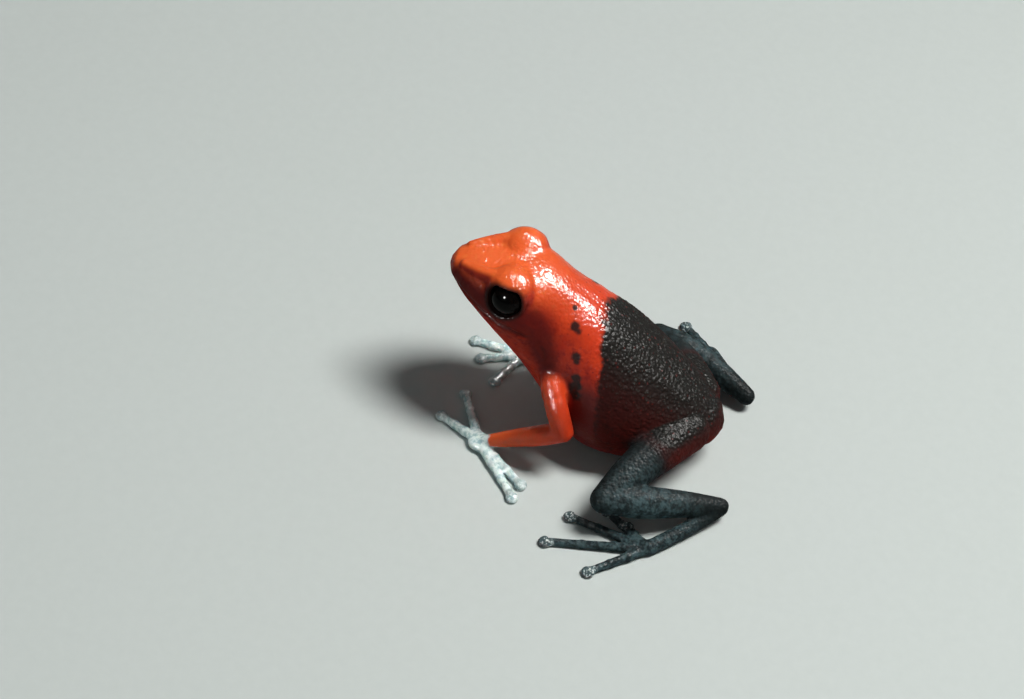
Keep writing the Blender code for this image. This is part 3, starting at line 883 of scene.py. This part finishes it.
def fold_routes():
    """Every fold as (route, width, depth): behind the jaw, round the arm, in the groin and on the throat."""
    folds = []
    for side, sign in SIDES:
        for route, width, depth in FOLDS:
            folds.append(([mirrored(place, sign) for place in route], width, depth))
        x, f, z, _ = THIGHS[side][1]
        groin = [(x * share, f + ahead, z + up) for share, ahead, up in GROIN]
        folds.append((groin, GROIN_WIDTH, GROIN_DEPTH))
    for i, z in enumerate(THROAT_HEIGHTS):
        ahead = THROAT_AHEAD - i * THROAT_STEP
        middle = (0, ahead + THROAT_SAG, z - THROAT_SAG)
        route = ((-THROAT_HALF, ahead, z), middle, (THROAT_HALF, ahead, z))
        folds.append((route, THROAT_WIDTH, THROAT_DEPTH))
    return folds


def model_body(points, normals):
    """Low forms under the skin: the shoulder blades, the ridges of the hip bones and the spine's furrow."""
    shift = np.zeros(len(points))
    for sign in (1, -1):
        blade = (points - np.array((sign * BLADE[0], *BLADE[1:]))) / np.array(BLADE_RADII)
        shift += FORM_RISE * bump(np.linalg.norm(blade, axis=1), BLADE_REACH)
        rows = [(sign * x, f, z, radius) for x, f, z, radius in HIP]
        distance, share = from_curve(points, rows)
        shift += FORM_RISE * bump(distance, 1.0) * faded(share, HIP_FADE, FOLD_FADE)
    top = np.clip(normals[:, 2], 0, 1)
    length = ramp(points[:, 1], *SPINE_REAR) * (1 - ramp(points[:, 1], *SPINE_FRONT))
    shift -= SPINE_DEPTH * bump(points[:, 0], SPINE_HALF) * top * length
    return points + normals * shift[:, None]


def limb_field(points, rows, edge, start=None):
    """1 on a limb and 0 off it, rising along its length where a start is given."""
    distance, share = from_curve(points, rows)
    near = 1 - ramp(distance, *edge)
    return near if start is None else near * ramp(share, *start)


def limb_fields(points):
    """How far each place belongs to the legs, the arms, the hands (in millimetres) and the feet."""
    leg = np.zeros(len(points))
    arm = np.zeros(len(points))
    hand = np.full(len(points), OFF_HAND)
    foot = np.zeros(len(points))
    for side, _ in SIDES:
        leg = np.maximum(leg, limb_field(points, THIGHS[side], LEG_EDGE, THIGH_START))
        leg = np.maximum(leg, limb_field(points, SHINS[side], LEG_EDGE))
        leg = np.maximum(leg, limb_field(points, TARSI[side], LEG_EDGE))
        arm = np.maximum(arm, limb_field(points, ARMS[side], ARM_EDGE, ARM_START))
        arm = np.maximum(arm, limb_field(points, FOREARMS[side], ARM_EDGE))
        wrist = np.array(FOREARMS[side][-1][:3])
        way = wrist - np.array(FOREARMS[side][-2][:3])
        way = way / np.linalg.norm(way)
        reach = np.maximum((points - wrist) @ way, CUFF_HEIGHT - points[:, 2])
        near = distances(points, PALMS[side]) < HAND_REACH
        by_floor = (points[:, 2] < HAND_HEIGHT) & (points[:, 1] > HAND_REAR)
        hand = np.where(near & by_floor, np.maximum(hand, reach), hand)
        from_sole = distances(points[:, :2], TARSI[side][-1][:2])
        foot = np.maximum(foot, 1 - ramp(from_sole, *FOOT_FADE))
    return leg, arm, hand, foot


def digit_fields(points):
    """How far each place belongs to the digits, and how far to their discs."""
    digits = np.zeros(len(points))
    discs = np.zeros(len(points))
    for root, tip, reach in digit_routes():
        distance, _ = from_curve(points, digit_route(root, tip, reach), DIGIT_COUNT)
        digits = np.maximum(digits, 1 - ramp(distance, *DIGIT_EDGE))
        disc = distances(points, (*tip, DISC_HEIGHT))
        discs = np.maximum(discs, 1 - ramp(disc, DISC_RADIUS, DISC_RADIUS + DISC_FADE))
    return digits, discs


def markings(points, normals):
    """Fields that the skin's material reads: rear and hand in millimetres, belly -1 to 1, others 0 to 1."""
    leg, arm, hand, foot = limb_fields(points)
    digits, discs = digit_fields(points)
    border = np.array(REAR_SHADOW_BORDER)
    fields = {}
    # How far behind the border, which is also the edge of the painted shadow over the rear
    fields["rear"] = np.interp(points[:, 2], border[:, 0], border[:, 1]) - points[:, 1]
    fields["leg"] = np.where(points[:, 1] < LEG_FRONT, np.maximum(leg, digits), 0)
    fields["arm"] = arm
    fields["hand"] = hand
    fields["disc"] = discs
    fields["foot"] = np.where(points[:, 1] < FOOT_FRONT, np.maximum(digits, foot * leg), 0)
    spots = np.zeros(len(points))
    for x, f, z, radius in SPOTS:
        spots = np.maximum(spots, 1 - distances(points, (x, f, z)) / (2 * radius))
    fields["spot"] = spots * (1 - arm)
    rows = np.array(TRUNK)[::-1]
    side_line = np.interp(points[:, 1], rows[:, 0], rows[:, 1])
    below = np.interp(points[:, 1], rows[:, 0], rows[:, 4])
    fields["belly"] = np.clip((side_line - points[:, 2]) / below, -1, 1)
    # How far the skin faces up: where the red takes painted light, and where the rear turns black and takes
    # painted glints
    fields["back"] = np.clip(normals[:, 2], 0, 1) * (1 - leg)
    # Where painted shade darkens the band beside the eye
    mask = np.zeros(len(points))
    for sign in (1, -1):
        distance, _ = from_curve(points, head_rows(SHADE_BAND, sign))
        mask = np.maximum(mask, 1 - ramp(distance, *SHADE_BAND_EDGE))
    fields["mask"] = mask * (1 - arm)
    # Where painted shade darkens the lower chest and belly behind the arm
    chest = (1 - ramp(points[:, 2], *CHEST_SHADE_TOP)) * (1 - ramp(points[:, 1], *CHEST_SHADE_FRONT))
    fields["low"] = chest * (1 - arm)
    fields["ahead"] = ramp(points[:, 1], *AHEAD)
    return fields


def roughen(obj, fields):
    """Granules raised in the surface itself, strongest on the back, and none on the lids and hands."""
    coarse = bpy.data.textures.new("granules", "VORONOI")
    coarse.noise_scale = GRANULE_SIZE
    coarse.weight_1 = 1.0
    rear = ramp(fields["rear"], -0.6, 0.6)
    top = ramp(fields["back"], 0.0, 0.5)
    amount = GRANULES + GRANULES_TOP * top + rear * (GRANULES_REAR + GRANULES_REAR_TOP * top)
    amount = amount + GRANULES_ARM * fields["arm"] + GRANULES_LEG * fields["leg"]
    amount = np.clip(amount, 0, 1) * (1 - fields["rim"]) * (1 - SMOOTHER * fields["crease"])
    amount = amount * (1 - ramp(fields["hand"], -0.2, 0.3)) * (1 - SMOOTHER * fields["foot"])
    weigh(obj, "granules", amount)
    push = obj.modifiers.new("Granules", "DISPLACE")
    push.texture = coarse
    push.texture_coords = "LOCAL"
    push.strength = -GRANULE_DEPTH
    push.mid_level = GRANULE_LEVEL
    push.vertex_group = "granules"
    apply_modifiers(obj)
    obj.vertex_groups.clear()


def build_skin():
    skin = fused(build_flesh())
    soften(skin)
    points = read(skin, "co")
    normals = read(skin, "normal")
    creases = np.zeros(len(points))
    rims = np.zeros(len(points))
    points = model_body(points, normals)
    points = carve_head(points, normals, creases)
    for route, width, depth in fold_routes():
        points = crease(points, normals, creases, route, width, depth)
    points = open_eyes(points, rims)
    fields = markings(points, normals)
    fields["crease"] = creases
    fields["rim"] = rims
    write_points(skin, points)
    roughen(skin, fields)
    points = read(skin, "co")
    points[:, 2] = np.maximum(points[:, 2], 0.0)
    write_points(skin, points)
    for name, values in fields.items():
        add_field(skin, name, values)
    return skin


def build_eye(side, sign):
    """An eyeball with a slightly raised cornea, and a field that grows from the middle of its pupil."""
    axis, up, ahead = eye_frame(sign)
    flesh = Flesh()
    rings = []
    rows = 60
    for i in range(rows):
        polar = math.pi * (i + 0.5) / rows
        flat = math.sin(polar)
        along = EYE_DEPTH * math.cos(polar)
        along += CORNEA_RISE * max(0.0, 1 - (flat / CORNEA_SHARE) ** 2) * (along > 0)
        radius = EYE_RADIUS * flat
        rings.append([(ahead * math.cos(a) + up * math.sin(a)) * radius + axis * along for a in turns(80)])
    flesh.rings(rings)
    place = eye_place(sign)
    eye = object_of("eyeball_" + side, to_world([place + p for p in flesh.points]), flesh.faces)
    orient(eye)
    values = []
    for p in flesh.points:
        flat = p - axis * p.dot(axis)
        away = math.hypot(flat.dot(ahead) / IRIS_WIDE, flat.dot(up))
        values.append(away if p.dot(axis) > 0 else EYE_RADIUS)
    add_field(eye, "iris", values)
    return eye


class Paint:
    """Short names for making a material's nodes."""

    def __init__(self, name):
        self.material = bpy.data.materials.new(name)
        self.material.use_nodes = True
        self.tree = self.material.node_tree
        self.shader = self.tree.nodes["Principled BSDF"]
        self.where = self.tree.nodes.new("ShaderNodeTexCoord").outputs["Object"]

    def put(self, socket, value):
        if isinstance(value, bpy.types.NodeSocket):
            self.tree.links.new(value, socket)
        else:
            socket.default_value = value

    def shade(self, name, value):
        """Sets or links an input of the shader."""
        self.put(self.shader.inputs[name], value)

    def field(self, name):
        node = self.tree.nodes.new("ShaderNodeAttribute")
        node.attribute_name = name
        return node.outputs["Fac"]

    def math(self, what, a, b):
        node = self.tree.nodes.new("ShaderNodeMath")
        node.operation = what
        self.put(node.inputs[0], a)
        self.put(node.inputs[1], b)
        return node.outputs[0]

    def plus(self, a, b):
        return self.math("ADD", a, b)

    def minus(self, a, b):
        return self.math("SUBTRACT", a, b)

    def times(self, a, b):
        return self.math("MULTIPLY", a, b)

    def larger(self, a, b):
        return self.math("MAXIMUM", a, b)

    def step(self, value, low, high):
        """0 below low, 1 above high and smooth between."""
        node = self.tree.nodes.new("ShaderNodeMapRange")
        node.interpolation_type = "SMOOTHSTEP"
        self.put(node.inputs["Value"], value)
        self.put(node.inputs["From Min"], low)
        self.put(node.inputs["From Max"], high)
        return node.outputs["Result"]

    def noise(self, size, detail=3.0, rough=0.55):
        """Cloudy noise, about 0.5, with marks of that size in millimetres."""
        node = self.tree.nodes.new("ShaderNodeTexNoise")
        self.put(node.inputs["Vector"], self.where)
        self.put(node.inputs["Scale"], 1 / (size * MM))
        self.put(node.inputs["Detail"], detail)
        self.put(node.inputs["Roughness"], rough)
        return node.outputs["Fac"]

    def cells(self, size, smooth=0.4):
        """The distance from cell middles, for cells of that size in millimetres."""
        node = self.tree.nodes.new("ShaderNodeTexVoronoi")
        node.feature = "SMOOTH_F1"
        self.put(node.inputs["Vector"], self.where)
        self.put(node.inputs["Scale"], 1 / (size * MM))
        self.put(node.inputs["Smoothness"], smooth)
        return node.outputs["Distance"]

    def mix(self, share, first, second):
        node = self.tree.nodes.new("ShaderNodeMix")
        node.data_type = "RGBA"
        self.put(node.inputs["Factor"], share)
        for name, colour in (("A", first), ("B", second)):
            linked = isinstance(colour, bpy.types.NodeSocket)
            self.put(node.inputs[name], colour if linked else (*colour, 1.0))
        return node.outputs["Result"]

    def tint(self, base, mask, amount, colour):
        """The base with some of another colour where the mask is."""
        return self.mix(self.times(mask, amount), base, colour)

    def bumped(self, height, strength, distance, normal=None):
        node = self.tree.nodes.new("ShaderNodeBump")
        self.put(node.inputs["Strength"], strength)
        self.put(node.inputs["Distance"], distance * MM)
        self.put(node.inputs["Height"], height)
        if normal is not None:
            self.put(node.inputs["Normal"], normal)
        return node.outputs["Normal"]


class SkinPaint(Paint):
    """The skin's textures, and what is made of them and of the fields that its mesh carries."""

    def __init__(self):
        super().__init__("frog_skin")
        self.clouds = self.noise(1.6)
        self.mottle = self.noise(0.45, 4.0, 0.6)
        self.fine = self.noise(0.12, 3.0, 0.6)
        self.pebbles = self.cells(0.22)
        self.jitter = self.minus(self.mottle, 0.5)
        self.drift = self.minus(self.noise(0.9, 1.5, 0.5), 0.5)

    def ragged(self, value):
        """A field whose edges wander."""
        return self.plus(self.plus(value, self.times(self.drift, 0.6)), self.times(self.jitter, 0.3))

    def front(self):
        """Mottled red that turns lighter and orange where it faces up, as painted light over the crown's own
        orange with traces of yellow, orange on the arms, and painted shade beside the eye and on the lower
        chest.
        """
        red = self.mix(self.step(self.clouds, 0.35, 0.7), RED_DEEP, RED)
        red = self.tint(red, self.step(self.mottle, 0.48, 0.66), 0.70, RED_MOTTLE)
        top = self.mix(self.field("ahead"), NECK_RED_LIT, CROWN_ORANGE_LIT)
        yellow = self.times(self.field("ahead"), 0.35)
        top = self.tint(top, self.step(self.mottle, 0.52, 0.70), yellow, CROWN_YELLOW)
        # Painted light: the red takes the lighter top colours where the skin faces up; on the arms they are
        # the arms' own orange
        painted_light_and_arm = self.times(self.step(self.field("back"), 0.34, 0.95), 0.90)
        painted_light_and_arm = self.larger(painted_light_and_arm, self.times(self.field("arm"), 0.55))
        red = self.mix(painted_light_and_arm, red, top)
        # Painted shade beside the eye
        red = self.tint(red, self.field("mask"), 0.90, SHADE_BAND_RED)
        # Painted shade on the lower chest
        return self.tint(red, self.field("low"), 0.92, CHEST_SHADE_RED)

    def rear(self):
        """Maroon on the flanks and black above, partly the frog's dark back and partly painted shadow over
        the rear, the maroon being red in painted shade, with painted grey-green glints on the granules of
        the back.
        """
        # Painted shadow over the rear: the flanks are red darkened to maroon, over a back that is partly
        # black
        dark = self.mix(self.step(self.field("belly"), -0.7, 0.7), SHADED_MAROON_DEEP, SHADED_MAROON)
        dark = self.tint(dark, self.step(self.mottle, 0.45, 0.72), 0.6, SHADED_MAROON_MOTTLE)
        dark = self.mix(self.step(self.field("back"), 0.35, 0.80), dark, BACK_BLACK)
        # Painted glints: grey-green on the granules of the back where it faces up
        grain = self.minus(1.0, self.step(self.pebbles, 0.10, 0.42))
        grain = self.times(grain, self.step(self.field("back"), 0.25, 0.80))
        grain = self.times(grain, self.step(self.mottle, 0.38, 0.62))
        return self.tint(dark, grain, 0.85, BACK_GLINT_GREY)

    def trunk(self):
        """The front and the rear with their border, which is also the edge of the painted shadow over the
        rear, the spots, and freckles along the border.
        """
        # The border between red and dark, which is also the edge of the painted shadow
        border = self.step(self.ragged(self.field("rear")), -0.18, 0.18)
        trunk = self.mix(border, self.front(), self.rear())
        blotch = self.ragged(self.field("spot"))
        trunk = self.tint(trunk, self.step(blotch, 0.28, 0.66), 0.94, SPOT_BLACK)
        freckles = self.minus(1.0, self.step(self.cells(0.50, 0.0), 0.08, 0.22))
        freckles = self.times(freckles, self.step(self.field("rear"), -3.2, -0.5))
        return self.tint(trunk, freckles, 0.60, FRECKLE)

    def legs(self):
        """Black with pale specks, and bluish toes."""
        leg = self.mix(self.step(self.clouds, 0.35, 0.65), LEG_BLACK, LEG_GREY)
        speck = self.step(self.noise(0.30, 4.0, 0.65), 0.62, 0.72)
        leg = self.tint(leg, speck, 0.7, LEG_SPECK)
        toe = self.mix(self.step(self.mottle, 0.40, 0.62), TOE_DARK, TOE_BLUE)
        return self.tint(leg, self.field("foot"), 0.75, toe)

    def hands(self):
        """Pale blue with darker clouds."""
        pale = self.mix(self.step(self.mottle, 0.34, 0.58), HAND_BLUE, HAND_PALE)
        return self.tint(pale, self.step(self.clouds, 0.52, 0.70), 0.45, HAND_CLOUD)

    def colour(self):
        """The trunk, and over it the legs, the hands, the discs, painted shade in the furrows, and the dark
        rims of the lids widened with painted shade.
        """
        body = self.mix(self.field("leg"), self.trunk(), self.legs())
        cuff = self.plus(self.field("hand"), self.times(self.jitter, 0.8))
        body = self.mix(self.step(cuff, -0.12, 0.16), body, self.hands())
        flecks = self.times(self.field("disc"), self.step(self.noise(0.16, 3.0, 0.6), 0.52, 0.60))
        body = self.tint(body, self.field("disc"), 0.45, DISC_GREY)
        body = self.tint(body, flecks, 0.8, DISC_FLECK)
        # Painted shade in the furrows
        body = self.tint(body, self.field("crease"), 0.55, CREASE_SHADE_RED)
        # The dark rims of the lids, widened with painted shade round the eyes
        return self.tint(body, self.field("rim"), 0.9, RIM_AND_SHADE_BLACK)

    def add_gloss(self):
        """A wet coat, drier on the rear and legs, beside the eye, on the lids' rims and on the underside."""
        dull = self.larger(self.step(self.field("rear"), -0.3, 0.5), self.field("leg"))
        rough = self.plus(ROUGH, self.times(self.fine, ROUGH_GRAIN))
        self.shade("Roughness", self.plus(rough, self.times(dull, ROUGH_REAR)))
        self.shade("Specular IOR Level", SPECULAR)
        dry = self.times(self.larger(self.field("mask"), self.field("rim")), DRY_HEAD)
        under = self.minus(1.0, self.step(self.field("back"), 0.02, 0.25))
        dry = self.larger(dry, self.times(under, DRY_UNDER))
        crest = self.times(self.step(self.field("back"), 0.60, 0.90), CREST)
        dry = self.larger(dry, self.times(dull, self.minus(DRY_REAR, crest)))
        wet = self.plus(self.minus(COAT, dry), self.times(self.field("arm"), COAT_ARM))
        self.shade("Coat Weight", wet)
        self.shade("Coat Roughness", COAT_ROUGH)

    def add_relief(self):
        """Pebbles, deepest on the rear, and a fine grain, strongest on the arms."""
        amount = self.plus(PEBBLE, self.times(self.step(self.field("rear"), -0.8, 0.8), PEBBLE_REAR))
        amount = self.minus(amount, self.times(self.field("arm"), PEBBLE_ARM))
        normal = self.bumped(self.minus(1.0, self.pebbles), amount, PEBBLE_DEPTH)
        amount = self.plus(GRAIN, self.times(self.field("arm"), GRAIN_ARM))
        normal = self.bumped(self.fine, amount, GRAIN_DEPTH, normal)
        self.shade("Normal", normal)
        self.shade("Coat Normal", normal)


def skin_material():
    paint = SkinPaint()
    paint.shade("Base Color", paint.colour())
    paint.add_gloss()
    paint.add_relief()
    paint.shade("Subsurface Weight", SUBSURFACE)
    paint.shade("Subsurface Radius", SUBSURFACE_RADIUS)
    paint.shade("Subsurface Scale", SUBSURFACE_SCALE * MM)
    return paint.material


def eye_material():
    """Black, with a faint brown iris."""
    paint = Paint("frog_eye")
    fibres = paint.noise(0.10, 4.0, 0.7)
    iris = paint.mix(paint.step(fibres, 0.45, 0.7), IRIS_DARK, IRIS_BROWN)
    pupil = paint.minus(1.0, paint.step(paint.field("iris"), 0.50, 0.54))
    colour = paint.mix(pupil, iris, PUPIL_BLACK)
    colour = paint.mix(paint.step(paint.field("iris"), 0.90, 1.04), colour, EYE_EDGE)
    paint.shade("Base Color", colour)
    paint.shade("Roughness", paint.plus(EYE_ROUGH, paint.times(fibres, EYE_ROUGH)))
    paint.shade("Coat Weight", EYE_COAT)
    paint.shade("Coat Roughness", EYE_COAT_ROUGH)
    paint.shade("Specular IOR Level", SPECULAR)
    return paint.material


def finish_piece(obj, material, nodes, offset):
    """Moves a piece from its layout in millimetres to the frame, gives it its material, hangs it from the
    root and hides the solids that it stands for.
    """
    obj.data.transform(Matrix.Scale(MM, 4) @ Matrix.Translation(offset))
    obj.data.shade_smooth()
    obj.data.materials.append(material)
    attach(obj, "root")
    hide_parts(*nodes)


def world_of(place):
    return Vector((place[0], -place[1], place[2]))


def layout_offset():
    """How far the solids were moved to centre them, in millimetres, read from the left eye's place."""
    low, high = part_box("eye_left")
    return (low + high) / 2 / MM - world_of(eye_place(1))


def add_camera(offset):
    flat = math.cos(ELEVATION)
    back = Vector((math.sin(AZIMUTH) * flat, -math.cos(AZIMUTH) * flat, math.sin(ELEVATION)))
    level = Vector((math.cos(AZIMUTH), math.sin(AZIMUTH), 0.0))
    rise = back.cross(level)
    right = level * math.cos(ROLL) + rise * math.sin(ROLL)
    up = rise * math.cos(ROLL) - level * math.sin(ROLL)
    distance = LENS / SENSOR * IMAGE_WIDTH / PIXELS_PER_MM
    place = world_of(EYE_MID) + offset + back * distance
    place -= right * ((EYE_MID_PIXEL[0] - IMAGE_MIDDLE[0]) / PIXELS_PER_MM)
    place -= up * ((IMAGE_MIDDLE[1] - EYE_MID_PIXEL[1]) / PIXELS_PER_MM)
    data = bpy.data.cameras.new("camera")
    data.lens = LENS
    data.sensor_width = SENSOR
    data.clip_start = MM
    data.clip_end = CLIP_END
    camera = bpy.data.objects.new("camera", data)
    turn = Matrix((right, up, back)).transposed().to_4x4()
    camera.matrix_world = Matrix.Translation(place * MM) @ turn
    bpy.context.scene.collection.objects.link(camera)
    bpy.context.scene.camera = camera


def add_lamp(name, way, distance, width, height, watts, colour, lights_all):
    """A soft lamp that faces the frog, from a way given as (x, f, z), which may light the gloss alone."""
    data = bpy.data.lights.new(name, "AREA")
    data.shape = "ELLIPSE"
    data.size = width
    data.size_y = height
    data.energy = watts
    data.color = colour
    lamp = bpy.data.objects.new(name, data)
    lamp.visible_diffuse = lights_all
    way = world_of(way).normalized()
    lamp.location = way * distance + LAMP_AIM
    lamp.rotation_mode = "QUATERNION"
    lamp.rotation_quaternion = way.to_track_quat("Z", "Y")
    bpy.context.scene.collection.objects.link(lamp)


def add_stage():
    corners = [(x * FLOOR_HALF, y * FLOOR_HALF, 0) for x, y in ((-1, -1), (1, -1), (1, 1), (-1, 1))]
    floor = object_of("floor", corners, [(0, 1, 2, 3)])
    paint = Paint("floor_paper")
    paint.shade("Base Color", paint.mix(paint.noise(0.8, 4.0, 0.6), FLOOR_DARK, FLOOR_PALE))
    paint.shade("Roughness", FLOOR_ROUGH)
    paint.shade("Specular IOR Level", 0.0)
    floor.data.materials.append(paint.material)
    world = bpy.data.worlds.new("studio")
    world.use_nodes = True
    background = world.node_tree.nodes["Background"]
    background.inputs["Color"].default_value = WORLD_COLOUR
    background.inputs["Strength"].default_value = WORLD_STRENGTH
    bpy.context.scene.world = world
    bpy.context.scene.view_settings.view_transform = "Standard"
    for lamp in LAMPS:
        add_lamp(*lamp)


def main():
    offset = layout_offset()
    add_camera(offset)
    add_stage()
    flesh_nodes = [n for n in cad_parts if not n.startswith("eye_")]
    finish_piece(build_skin(), skin_material(), flesh_nodes, offset)
    black = eye_material()
    for side, sign in SIDES:
        finish_piece(build_eye(side, sign), black, ["eye_" + side], offset)


main()
